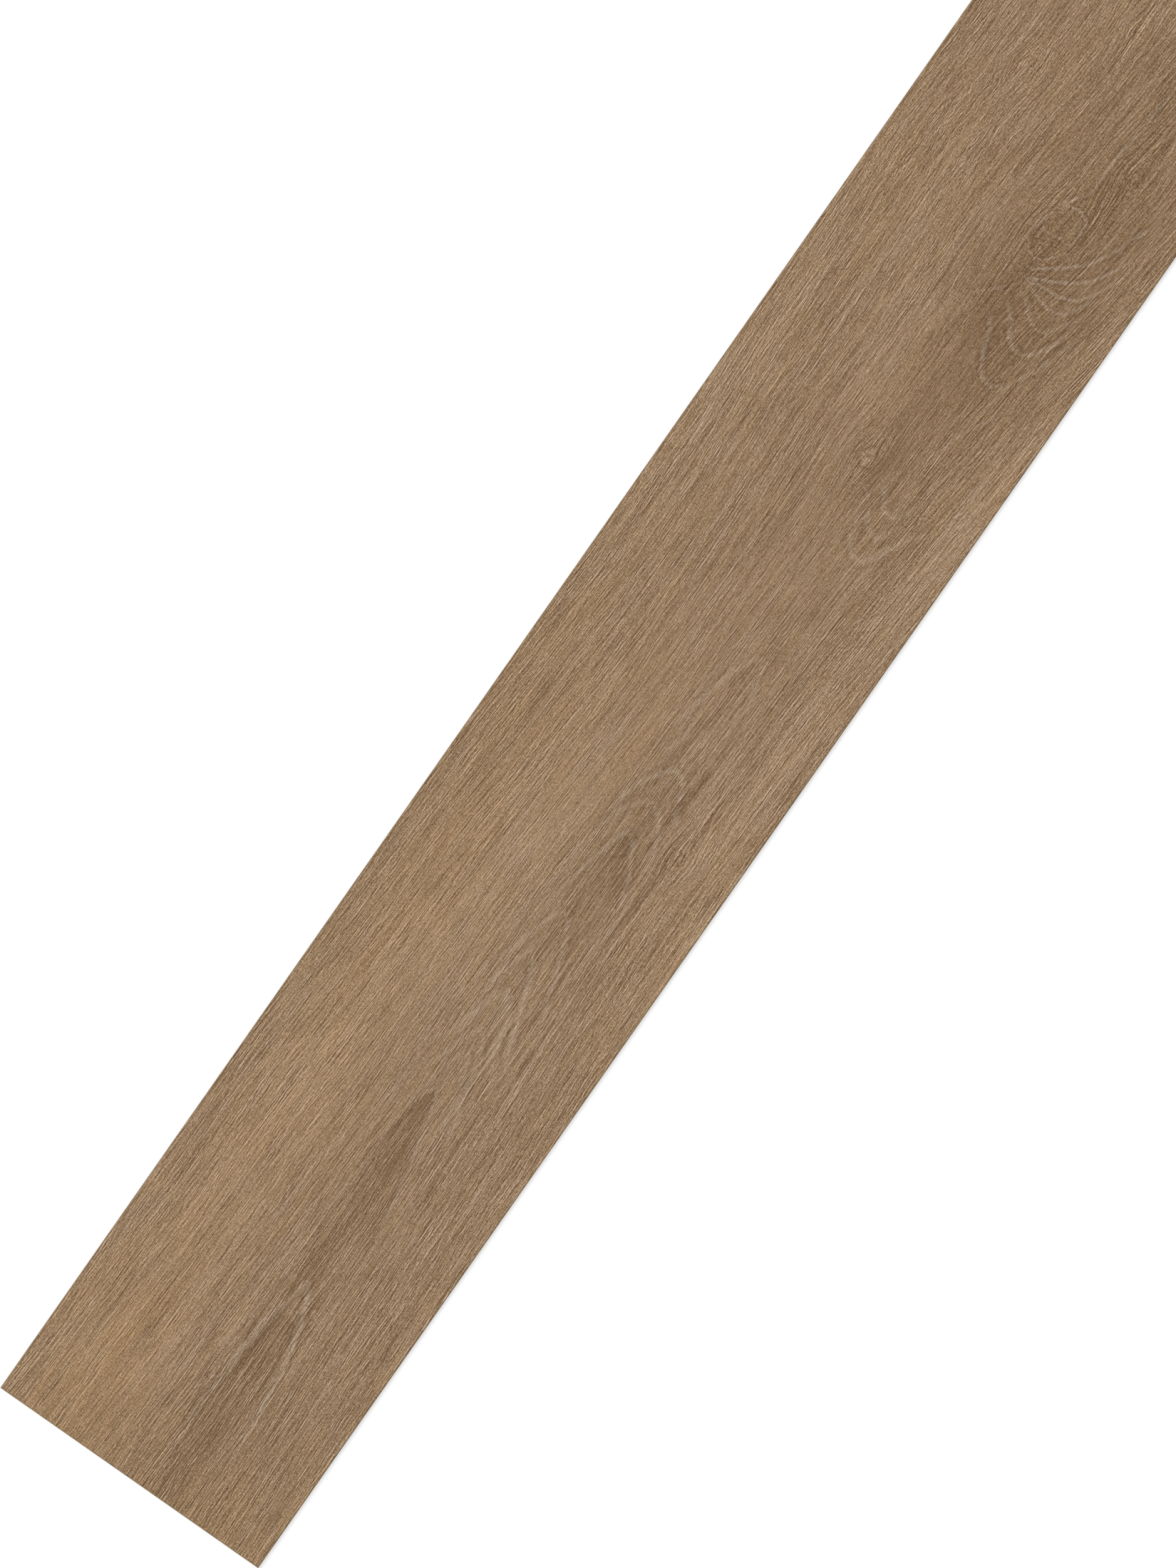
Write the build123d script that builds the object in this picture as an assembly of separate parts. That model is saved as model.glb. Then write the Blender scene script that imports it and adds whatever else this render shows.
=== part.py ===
from build123d import *
import os

# A glue-down vinyl floor plank, lying face up. It is pressed and punched as one
# sheet, so it is one solid: a flat plank with a micro bevel round its face and
# plain square-cut edges below that, which butt against the planks beside it.
#
# The origin is the middle of the back face, which lies on the floor. X runs
# along the plank, Y across it, and Z up to the wear face.

# Driving dimensions, in millimetres.
PLANK_LENGTH = 1219.2
PLANK_WIDTH = 177.8
PLANK_THICKNESS = 2.5

# The painted micro bevel: how far it reaches in over the face, and how far it drops.
BEVEL_RUN = 0.6
BEVEL_DROP = 0.4


def plank():
    """The plank with its bevel, its back face on Z = 0."""
    slab = Box(
        PLANK_LENGTH,
        PLANK_WIDTH,
        PLANK_THICKNESS,
        align=(Align.CENTER, Align.CENTER, Align.MIN),
    )
    face = slab.faces().sort_by(Axis.Z)[-1]
    return chamfer(face.edges(), length=BEVEL_RUN, length2=BEVEL_DROP, reference=face)


os.makedirs("parts", exist_ok=True)
export_step(plank(), "parts/plank.step")
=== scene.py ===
import logging
import math
from dataclasses import dataclass
from enum import IntEnum
from typing import Any

import bmesh
import bpy
import numpy as np
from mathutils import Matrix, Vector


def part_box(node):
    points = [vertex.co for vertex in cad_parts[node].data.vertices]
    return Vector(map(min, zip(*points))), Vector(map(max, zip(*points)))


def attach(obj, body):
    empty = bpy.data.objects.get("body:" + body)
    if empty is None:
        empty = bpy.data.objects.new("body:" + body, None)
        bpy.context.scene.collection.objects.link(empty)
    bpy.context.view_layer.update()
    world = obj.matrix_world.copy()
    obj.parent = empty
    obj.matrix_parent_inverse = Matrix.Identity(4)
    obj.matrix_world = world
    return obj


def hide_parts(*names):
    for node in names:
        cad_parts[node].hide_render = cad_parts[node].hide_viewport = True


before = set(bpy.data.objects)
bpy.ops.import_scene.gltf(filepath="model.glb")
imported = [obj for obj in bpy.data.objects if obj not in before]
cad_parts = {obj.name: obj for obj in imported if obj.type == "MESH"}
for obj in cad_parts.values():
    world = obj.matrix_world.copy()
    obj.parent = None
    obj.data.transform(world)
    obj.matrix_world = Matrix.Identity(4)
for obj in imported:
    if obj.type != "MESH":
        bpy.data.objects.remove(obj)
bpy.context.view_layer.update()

# A glue-down vinyl floor plank with an oak face. The face is a print under a clear wear
# layer, pressed with a grain that keeps register with the print.
#
# Lengths in the classes below are millimetres. Places on the face are given as along, from
# the near end, and across, from the left edge, as someone reads them who looks from the near
# end towards the far one.

log = logging.getLogger("plank")

MM = 0.001
VINYL_IOR = 1.5
WHITE = (1, 1, 1, 1)

# The wave texture has this many waves to a unit of length at a scale of 1.
WAVE_SCALE = math.tau / 20

# Where the surfaces lie in the square of the baked copy, as shares of its side. The face, the
# back and the long edges run its whole length, and the two ends share a row.
SHEET_MARGIN = 0.006
FACE_START = 0.30
FACE_HEIGHT = 0.69
BACK_START = 0.01
BACK_HEIGHT = 0.22
LONG_EDGE_STARTS = (0.240, 0.255)
END_ROW = 0.270
END_STARTS = (0.02, 0.52)
END_LENGTH = 0.45
EDGE_HEIGHT = 0.010

Socket = bpy.types.NodeSocket
Sockets = bpy.types.NodeOutputs
Level = bpy.types.NodeSocket | float

# The photo's frame and where the plank lies in it, in its pixels.
PHOTO_WIDTH = 1650
PHOTO_HEIGHT = 2200
NEAR_LEFT_CORNER = (0.4, 1947.1)
PLANK_WIDTH_PIXELS = 441.5
EDGE_RUN_PER_ROW = 0.7


def linear(code: str) -> tuple[float, float, float, float]:
    """Turns an sRGB hex colour into linear light.

    Args:
        code: six hex digits, such as "967B60".

    Returns:
        Red, green, blue and an alpha of 1.
    """
    parts = [int(code[place : place + 2], 16) / 255 for place in (0, 2, 4)]
    light = [part / 12.92 if part <= 0.04045 else ((part + 0.055) / 1.055) ** 2.4 for part in parts]
    return (light[0], light[1], light[2], 1.0)


def add_node(
    tree: bpy.types.NodeTree,
    kind: str,
    inputs: dict[int | str, Any] | None = None,
    **settings: Any,
) -> bpy.types.Node:
    """Adds one node with its settings and links.

    Args:
        tree: the node tree that it goes into.
        kind: the node's type name.
        inputs: a value or another node's output for each input socket.
        **settings: the node's own options.

    Returns:
        The new node.
    """
    node = tree.nodes.new(kind)
    for name, value in settings.items():
        setattr(node, name, value)
    for socket, value in (inputs or {}).items():
        if isinstance(value, bpy.types.NodeSocket):
            tree.links.new(value, node.inputs[socket])
        else:
            node.inputs[socket].default_value = value
    return node


class Surface(IntEnum):
    """The plank's kinds of surface, in the order of its material slots."""

    FACE = 0
    BEVEL = 1
    CUT_EDGE = 2
    BACK = 3


@dataclass(frozen=True)
class Knot:
    """A knot of the print, with the grain parting round it.

    Attributes:
        along: its middle from the near end.
        across: its middle from the left edge.
        half_length: half its length along the plank.
        half_width: half its width across the plank.
        push: how strongly the grain bends away from it, from 0 to 1.
        rings: how many rings show inside it.
        strength: how clearly the rings show, below 0 for a pale middle.
    """

    along: float
    across: float
    half_length: float
    half_width: float
    push: float
    rings: float
    strength: float


@dataclass(frozen=True)
class Vein:
    """A pale line of the oak's figure, such as the outline of a flame.

    Attributes:
        points: places that the line passes through, as along and across.
        strength: how clearly it shows, from 0 to 1.
        width: half its width.
        shade: how much darker the side to the right of its run is.
        shade_width: how far that darker side reaches.
    """

    points: tuple[tuple[float, float], ...]
    strength: float
    width: float
    shade: float = 0.0
    shade_width: float = 4.0


@dataclass(frozen=True)
class Cloud:
    """A soft patch of the print that is lighter or darker than the rest.

    Attributes:
        along: its middle from the near end.
        across: its middle from the left edge.
        half_length: its reach along the plank.
        half_width: its reach across the plank.
        drop: how far it moves across for each millimetre along.
        amount: how much lighter it is, below 0 for darker.
    """

    along: float
    across: float
    half_length: float
    half_width: float
    drop: float
    amount: float


@dataclass(frozen=True)
class GrainTurn:
    """The slope of the grain at one place along the plank.

    Attributes:
        along: the place, from the near end.
        upper: how far the grain moves across for each millimetre along, near the left edge.
        lower: the same near the right edge.
    """

    along: float
    upper: float
    lower: float


GRAIN_TURNS = (
    GrainTurn(0, 0.055, -0.015),
    GrainTurn(80, 0.030, -0.022),
    GrainTurn(330, 0.025, -0.028),
    GrainTurn(400, 0.062, -0.012),
    GrainTurn(540, 0.050, 0.030),
    GrainTurn(650, -0.020, 0.080),
    GrainTurn(780, -0.025, 0.100),
    GrainTurn(840, -0.010, 0.125),
    GrainTurn(900, 0.050, 0.110),
    GrainTurn(1000, 0.020, 0.040),
    GrainTurn(1219, 0.010, 0.020),
)

KNOTS = (
    Knot(876.0, 115.0, 18.0, 11.0, 0.38, 5.0, 0.6),
    Knot(927.5, 133.0, 10.5, 9.0, 0.30, 3.5, 0.6),
    Knot(464.5, 143.0, 6.4, 5.4, 0.40, 1.0, -0.9),
    Knot(712.0, 100.0, 7.2, 5.6, 0.55, 1.0, 1.2),
    Knot(943.5, 46.5, 6.0, 5.0, 0.40, 2.0, 0.35),
    Knot(996.0, 87.5, 4.0, 3.0, 0.50, 2.0, 0.3),
)

VEINS = (
    Vein(
        strength=1.0, width=1.25, shade=0.2, shade_width=6.0,
        points=(
            (0, 98), (60.5, 98.5), (101, 99.5), (123, 102), (139, 106), (148.5, 109), (139, 114),
            (121, 120), (97, 125.5), (68.5, 128), (32.5, 131),
        ),
    ),
    Vein(
        strength=0.3, width=0.9, shade=0.7, shade_width=6.0,
        points=(
            (72.5, 101.5), (105, 102.5), (121, 105), (128, 109.5), (123, 117), (105, 121), (72.5, 123),
        ),
    ),
    Vein(
        strength=0.5, width=1.0, shade=0.95, shade_width=7.0,
        points=(
            (193.5, 97), (226, 96), (250, 96), (266, 99), (279, 105), (268, 109), (250, 113.5),
            (226, 119.5), (193.5, 125), (161.5, 131),
        ),
    ),
    Vein(
        strength=0.45, width=1.2,
        points=(
            (258, 95), (282.5, 99), (298.5, 104), (306.5, 108), (296.5, 113), (278.5, 118), (254, 123),
            (226, 130),
        ),
    ),
    Vein(
        strength=0.62, width=1.3, shade=0.1,
        points=(
            (282.5, 93.5), (302.5, 98), (316.5, 103), (322.5, 107), (314.5, 112), (298.5, 117),
            (274, 123), (242, 133),
        ),
    ),
    Vein(
        strength=0.62, width=1.8, shade=0.1,
        points=(
            (306.5, 93.5), (328.5, 98), (343, 103), (346, 107.5), (338.5, 113), (322.5, 118),
            (298.5, 125),
        ),
    ),
    Vein(
        strength=0.75, width=1.3, shade=0.15,
        points=(
            (334.5, 93.5), (359, 98), (370, 102), (374, 106), (365, 111.5), (351, 116), (330.5, 123),
            (306.5, 131),
        ),
    ),
    Vein(
        strength=0.65, width=1.2,
        points=(
            (355, 92), (379, 97), (397, 103), (403.5, 108), (397, 113), (383, 119), (363, 126),
            (334.5, 135),
        ),
    ),
    Vein(
        strength=0.9, width=1.1, shade=0.6, shade_width=9.0,
        points=(
            (403.5, 97), (427.5, 101), (447.5, 105.5), (457.5, 108.5), (461, 111.5), (457.5, 115.5),
            (448.5, 120.5), (437.5, 126), (423.5, 131),
        ),
    ),
    Vein(
        strength=0.7, width=1.2, shade=0.2,
        points=(
            (439.5, 95), (464, 98), (475, 104), (481, 109.5), (480.5, 115), (475, 121), (464, 127),
            (451, 133),
        ),
    ),
    Vein(
        strength=0.9, width=1.2, shade=0.3,
        points=(
            (455.5, 93.5), (482, 98), (494, 104), (502, 109.5), (504, 115), (499, 121), (487, 126),
            (475, 132),
        ),
    ),
    Vein(
        strength=0.4, width=1.2, shade=0.1,
        points=(
            (500, 99), (518, 104), (528.5, 109.5), (530.5, 114), (524.5, 118), (512, 123),
        ),
    ),
    Vein(
        strength=0.6, width=1.2, shade=0.15, shade_width=5.0,
        points=(
            (520, 97), (542.5, 101), (562.5, 105.5), (577.5, 111.5), (584.5, 117), (576.5, 121),
            (562.5, 124), (544.5, 130),
        ),
    ),
    Vein(
        strength=0.7, width=1.5, shade=0.1,
        points=(
            (699.5, 155.5), (685.5, 145), (672.5, 138.5), (663.5, 132.5), (660.5, 127), (663.5, 122),
            (672.5, 117), (689.5, 113),
        ),
    ),
    Vein(
        strength=0.7, width=1.5, shade=0.1,
        points=(
            (685.5, 137), (678.5, 132), (676.5, 127), (680.5, 122), (687.5, 117),
        ),
    ),
    Vein(
        strength=0.8, width=1.3, shade=0.2, shade_width=6.0,
        points=(
            (703.5, 139), (694.5, 134), (691, 129), (693, 125), (698.5, 121), (705, 116),
        ),
    ),
    Vein(
        strength=0.6, width=0.8,
        points=(
            (699.5, 105.5), (694.5, 112), (690.5, 116),
        ),
    ),
    Vein(
        strength=0.6, width=0.8,
        points=(
            (726, 128), (746, 133.5), (758, 139), (768, 144.5), (786.5, 152.5),
        ),
    ),
    Vein(
        strength=0.8, width=1.1, shade=0.3, shade_width=6.0,
        points=(
            (855, 164.5), (830.5, 158), (812.5, 152), (800.5, 147), (791, 142), (785, 136.5),
            (784.5, 130.5), (787, 126), (793.5, 122), (800.5, 118), (811.5, 114.5), (826.5, 104),
        ),
    ),
    Vein(
        strength=0.8, width=1.1, shade=0.15,
        points=(
            (843, 156.5), (823.5, 149.5), (813, 143.5), (808.5, 137), (810, 131.5), (814.5, 126),
            (822.5, 121), (833, 111),
        ),
    ),
    Vein(
        strength=0.75, width=1.0, shade=0.1,
        points=(
            (851, 155.5), (837, 149), (827.5, 143), (825.5, 137), (828, 131), (832.5, 125.5),
            (839.5, 118),
        ),
    ),
    Vein(
        strength=0.8, width=0.9, shade=0.1, shade_width=3.0,
        points=(
            (859, 155), (845.5, 148), (840, 142), (839, 135), (840.5, 127.5), (843, 120),
        ),
    ),
    Vein(
        strength=1.0, width=0.8, shade=0.1, shade_width=3.0,
        points=(
            (881, 161.5), (867, 155.5), (855.5, 149.5), (850.5, 143.5), (848, 137), (847.5, 130),
            (846.5, 122), (843, 115),
        ),
    ),
    Vein(
        strength=0.95, width=0.8, shade=0.1, shade_width=3.0,
        points=(
            (889, 159.5), (876, 153), (866, 146.5), (860, 140.5), (855.5, 133.5), (851.5, 126),
            (847.5, 118), (845, 109.5),
        ),
    ),
    Vein(
        strength=1.0, width=0.8, shade=0.15, shade_width=3.0,
        points=(
            (914.5, 159), (903.5, 154.5), (890, 149), (878.5, 143.5), (871, 138), (865, 131.5),
            (858.5, 124), (853.5, 117), (851.5, 109),
        ),
    ),
    Vein(
        strength=1.0, width=0.65,
        points=(
            (867, 125), (879, 126), (890.5, 125.5), (894, 120), (894, 115), (891, 109.5), (885, 105.5),
            (877, 104), (867, 103.5),
        ),
    ),
    Vein(
        strength=0.7, width=0.6,
        points=(
            (867, 103.5), (861, 106.5), (858, 111.5), (859.5, 116), (863.5, 120.5), (868, 124.5),
        ),
    ),
    Vein(
        strength=0.5, width=0.55,
        points=(
            (879, 122), (887, 120.5), (890, 115.5), (888, 110.5), (882.5, 107.5),
        ),
    ),
    Vein(
        strength=0.7, width=0.55,
        points=(
            (878, 104), (874.5, 108), (874.5, 113), (875, 118), (874.5, 124),
        ),
    ),
    Vein(
        strength=0.9, width=0.75,
        points=(
            (887, 105.5), (893, 109.5), (901.5, 114), (908, 118), (927.5, 118), (945.5, 120), (968, 122),
            (988, 123.5), (1016, 126),
        ),
    ),
    Vein(
        strength=0.6, width=0.65,
        points=(
            (822.5, 95), (827.5, 101), (833, 105.5), (839, 111), (842, 116),
        ),
    ),
)

CLOUDS = (
    Cloud(30, 20, 120, 18, 0.0, 0.35),
    Cloud(100, 38, 150, 34, 0.0, 0.42),
    Cloud(70, 64, 40, 12, 0.0, 0.45),
    Cloud(150, 58, 60, 10, 0.0, 0.3),
    Cloud(10, 94, 60, 7, 0.0, -0.55),
    Cloud(60, 107, 95, 9, 0.0, -1.05),
    Cloud(20, 112, 60, 11, 0.0, -0.4),
    Cloud(160, 106, 40, 7, 0.0, -0.75),
    Cloud(138, 122, 22, 5, 0.0, -1.0),
    Cloud(75, 110, 13, 7, 0.0, 0.4),
    Cloud(100, 122, 18, 5, 0.0, 0.5),
    Cloud(72, 6, 30, 6, 0.0, 0.5),
    Cloud(136, 110, 13, 5, 0.0, 1.2),
    Cloud(215, 104, 60, 9, -0.03, -0.75),
    Cloud(262, 103, 26, 5, 0.0, -0.5),
    Cloud(262, 106, 30, 9, 0.0, 0.3),
    Cloud(60, 158, 20, 5, 0.0, -0.7),
    Cloud(60, 140, 60, 14, 0.0, -0.2),
    Cloud(120, 145, 150, 25, 0.0, -0.15),
    Cloud(180, 36, 110, 12, 0.02, 0.35),
    Cloud(260, 36, 60, 22, 0.0, 0.45),
    Cloud(180, 60, 140, 4, 0.0, 0.45),
    Cloud(225, 62, 60, 14, 0.0, 0.25),
    Cloud(225, 92, 50, 9, 0.0, 0.3),
    Cloud(400, 55, 110, 28, 0.08, 0.85),
    Cloud(400, 98, 60, 9, 0.0, 0.45),
    Cloud(420, 78, 30, 10, 0.0, 0.35),
    Cloud(480, 82, 60, 8, 0.10, 0.35),
    Cloud(420, 113, 55, 10, 0.06, -0.75),
    Cloud(455, 124, 60, 7, 0.0, -0.45),
    Cloud(520, 105, 60, 9, 0.05, -0.15),
    Cloud(440, 153, 26, 8, 0.0, 0.30),
    Cloud(535, 158, 90, 9, 0.06, 0.95),
    Cloud(420, 173, 50, 6, 0.0, 0.60),
    Cloud(460, 137, 26, 6, 0.0, -0.45),
    Cloud(600, 124, 40, 7, 0.06, -0.55),
    Cloud(590, 140, 60, 10, 0.06, -0.30),
    Cloud(660, 79, 40, 5, -0.05, -0.75),
    Cloud(690, 64, 30, 9, 0.0, -0.5),
    Cloud(590, 12, 80, 14, 0.0, 0.3),
    Cloud(720, 12, 90, 14, 0.0, 0.60),
    Cloud(760, 42, 60, 14, 0.0, -0.35),
    Cloud(700, 106, 34, 10, 0.0, -0.75),
    Cloud(716, 124, 30, 10, 0.0, -0.5),
    Cloud(735, 106, 36, 10, 0.0, -0.8),
    Cloud(775, 70, 40, 10, 0.0, 0.3),
    Cloud(720, 168, 80, 10, 0.04, 0.85),
    Cloud(720, 143, 60, 10, 0.0, -0.45),
    Cloud(787, 86, 30, 9, 0.0, 0.55),
    Cloud(790, 122, 50, 12, 0.0, -0.8),
    Cloud(780, 158, 40, 20, 0.0, -0.4),
    Cloud(850, 108, 95, 20, 0.04, -0.85),
    Cloud(835, 108, 40, 9, 0.0, -0.55),
    Cloud(872, 110, 42, 22, 0.0, -0.2),
    Cloud(850, 135, 80, 12, 0.04, -0.6),
    Cloud(895, 130, 30, 10, 0.0, -0.35),
    Cloud(880, 156, 100, 16, 0.04, -0.95),
    Cloud(920, 128, 60, 16, 0.06, -0.55),
    Cloud(965, 132, 60, 12, 0.06, -0.5),
    Cloud(965, 90, 60, 18, 0.04, -0.4),
    Cloud(1010, 110, 60, 25, 0.05, -0.35),
    Cloud(860, 40, 90, 30, 0.0, 0.25),
    Cloud(845, 88, 40, 10, 0.0, -0.4),
    Cloud(944, 78, 14, 8, 0.0, -0.5),
    Cloud(911, 151, 20, 10, 0.0, -0.5),
    Cloud(940, 25, 60, 25, 0.0, -0.25),
    Cloud(1120, 60, 90, 20, 0.02, 0.45),
    Cloud(1150, 125, 90, 12, 0.03, -0.55),
)

# Where the grain curls and breaks up into short ticks.
FLECK_AREAS = (
    Cloud(895, 38, 55, 34, 0.0, 1.0),
    Cloud(800, 88, 35, 12, 0.0, 0.5),
    Cloud(300, 160, 220, 20, 0.0, 0.45),
    Cloud(30, 50, 40, 10, 0.05, 0.3),
)

# Where the fine lines fade out, or are bolder for an amount below 0.
CALM_AREAS = (
    Cloud(50, 104, 95, 14, 0.0, -0.4),
    Cloud(60, 45, 110, 38, 0.0, 0.25),
    Cloud(560, 155, 60, 18, 0.05, -0.25),
    Cloud(870, 120, 100, 36, 0.0, 0.55),
    Cloud(876, 114, 26, 15, 0.0, 0.3),
    Cloud(778, 117, 32, 9, 0.0, 0.6),
    Cloud(450, 158, 14, 9, 0.0, 0.8),
    Cloud(930, 120, 50, 18, 0.0, 0.25),
)

# Where the fibres gather in bands.
BOLD_AREAS = (
    Cloud(60, 112, 95, 26, 0.0, 0.7),
    Cloud(300, 132, 80, 26, 0.0, 0.5),
    Cloud(460, 130, 130, 28, 0.03, 1.0),
    Cloud(640, 60, 90, 30, 0.0, 0.4),
)

# Where the fibres waver.
WAVY_AREAS = (
    Cloud(900, 80, 230, 110, 0.0, 1.3),
    Cloud(480, 125, 60, 30, 0.0, 0.4),
)

# Where the print leans to yellow.
WARM_AREAS = (
    Cloud(40, 35, 90, 35, 0.0, 1.0),
    Cloud(0, 120, 45, 70, 0.0, 0.9),
    Cloud(230, 45, 140, 35, 0.0, 0.6),
    Cloud(440, 20, 130, 34, 0.0, 0.6),
    Cloud(520, 60, 160, 40, 0.05, 0.3),
    Cloud(440, 165, 80, 18, 0.0, 0.4),
    Cloud(498, 86, 42, 5, 0.0, 0.7),
    Cloud(840, 15, 60, 30, 0.0, 0.35),
)


class LatticeNoise:
    """Smooth random values over a plane, the same on every run."""

    CELLS = 509

    def __init__(self, seed: int) -> None:
        """Draws the slopes at the lattice points.

        Args:
            seed: what makes this noise differ from the others.
        """
        angles = np.random.default_rng(seed).random((self.CELLS, self.CELLS)) * math.tau
        self.slopes = np.stack([np.cos(angles), np.sin(angles)])

    def at(self, x: np.ndarray, y: np.ndarray) -> np.ndarray:
        """Reads the noise.

        Args:
            x: first coordinates, in lattice cells.
            y: second coordinates, in lattice cells.

        Returns:
            Values of about -1 to 1, 0 on average.
        """
        column = np.floor(x).astype(int)
        row = np.floor(y).astype(int)
        part_x = x - column
        part_y = y - row
        ease_x = part_x**3 * (part_x * (part_x * 6 - 15) + 10)
        ease_y = part_y**3 * (part_y * (part_y * 6 - 15) + 10)

        def corner(step_x: int, step_y: int) -> np.ndarray:
            """Gives the share of one lattice point.

            Args:
                step_x: 0 for the column before the place and 1 for the one after.
                step_y: the same for the rows.

            Returns:
                Its share at each place.
            """
            slope = self.slopes[:, (row + step_y) % self.CELLS, (column + step_x) % self.CELLS]
            return slope[0] * (part_x - step_x) + slope[1] * (part_y - step_y)

        near = corner(0, 0) * (1 - ease_x) + corner(1, 0) * ease_x
        far = corner(0, 1) * (1 - ease_x) + corner(1, 1) * ease_x
        return (near * (1 - ease_y) + far * ease_y) * math.sqrt(2)


def ease(value: np.ndarray, start: float, end: float) -> np.ndarray:
    """Rises smoothly from 0 to 1.

    Args:
        value: what is measured.
        start: where the result is still 0.
        end: where it reaches 1.

    Returns:
        The eased values.
    """
    share = np.clip((value - start) / (end - start), 0, 1)
    return share * share * (3 - 2 * share)


def cloud_sum(clouds: tuple[Cloud, ...], along: np.ndarray, across: np.ndarray) -> np.ndarray:
    """Adds up soft patches.

    Args:
        clouds: the patches.
        along: places from the near end.
        across: places from the left edge.

    Returns:
        The sum at each place.
    """
    total = np.zeros_like(along)
    for cloud in clouds:
        run = along - cloud.along
        offset = across - cloud.across - cloud.drop * run
        reach = (run / cloud.half_length) ** 2 + (offset / cloud.half_width) ** 2
        total += cloud.amount * np.exp(-reach)
    return total


@dataclass(frozen=True)
class FigureLines:
    """Where places lie beside the nearest of some figure lines.

    Attributes:
        offset: distance from the line as a share of its half width, below 0 on the left of
            its run.
        run: how squarely the line crosses the fibres, 0 to 1.
        strength: how clearly it shows, 0 to 1.
        shade: how much darker its right side is.
    """

    offset: np.ndarray
    run: np.ndarray
    strength: np.ndarray
    shade: np.ndarray


@dataclass(frozen=True)
class Grain:
    """What the grain field gives at each place of the face.

    Attributes:
        flow_along: place along the fibre.
        flow_across: which fibre it is.
        tone: lighter or darker than the plain print, about -1 to 1.
        warmth: how much it leans to yellow, 0 to 1.
        calm: how far the fine lines fade out, 0 to 1, below 0 where they are bolder.
        wavy: how much the fibres waver, 0 to 1.
        bold: how much the fibres gather in bands a few millimetres wide, 0 to 1.
        streak: the pressed-in streaks, 0 for high and 1 for deep.
        fleck: how much the fibres curl and break up into ticks, 0 to 1.
        figure: the figure lines, every other one in each of two sets, so that the lines of
            a set lie well apart.
        knot_radius: distance from the nearest knot's middle, 1 at its rim.
        knot_rings: how many rings that knot has.
        knot_strength: how clearly they show, below 0 for a pale middle.
    """

    flow_along: np.ndarray
    flow_across: np.ndarray
    tone: np.ndarray
    warmth: np.ndarray
    calm: np.ndarray
    wavy: np.ndarray
    bold: np.ndarray
    streak: np.ndarray
    fleck: np.ndarray
    figure: tuple[FigureLines, FigureLines]
    knot_radius: np.ndarray
    knot_rings: np.ndarray
    knot_strength: np.ndarray


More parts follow.
